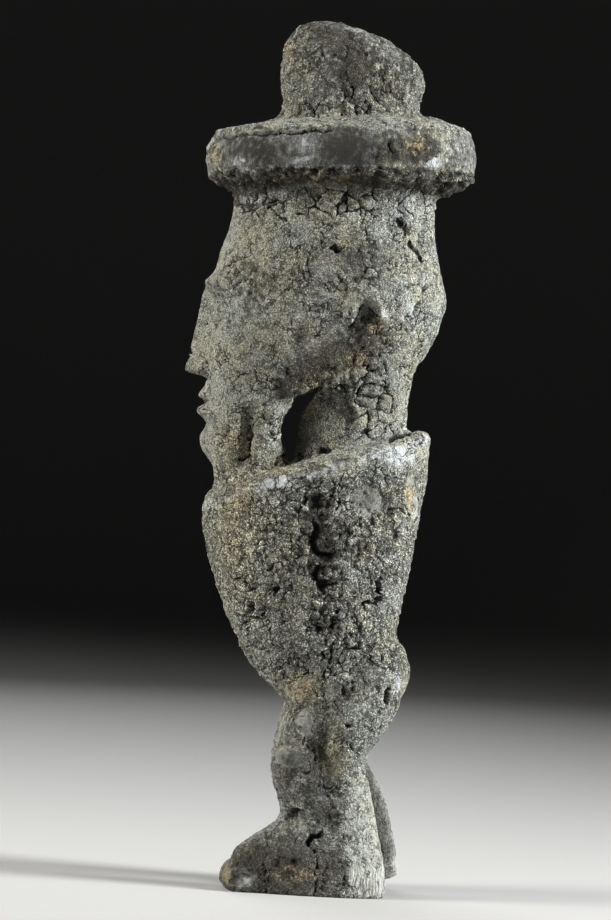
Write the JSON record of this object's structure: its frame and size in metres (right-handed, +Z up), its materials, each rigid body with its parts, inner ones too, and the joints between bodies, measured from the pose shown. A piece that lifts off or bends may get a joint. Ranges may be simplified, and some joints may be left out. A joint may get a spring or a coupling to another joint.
{
  "type": "fetish figure",
  "caption": "Small carved wooden fetish figure with a domed, broad-brimmed hat, heavy head, tapering body and bent legs under a cracked crust; it stands on its own soles.",
  "frame": {"origin": "middle of the figure's box, at the level of its soles", "axes": "+Z up; the figure faces -Y, and its own left side is towards +X"},
  "size_m": [0.0502, 0.0574, 0.178],
  "materials": {
    "encrusted_wood": "matt, cracked and crumbling crust over old wood, with worn and polished edges"
  },
  "bodies": {
    "root": {"carved_figure": "encrusted_wood"}
  },
  "joints": []
}
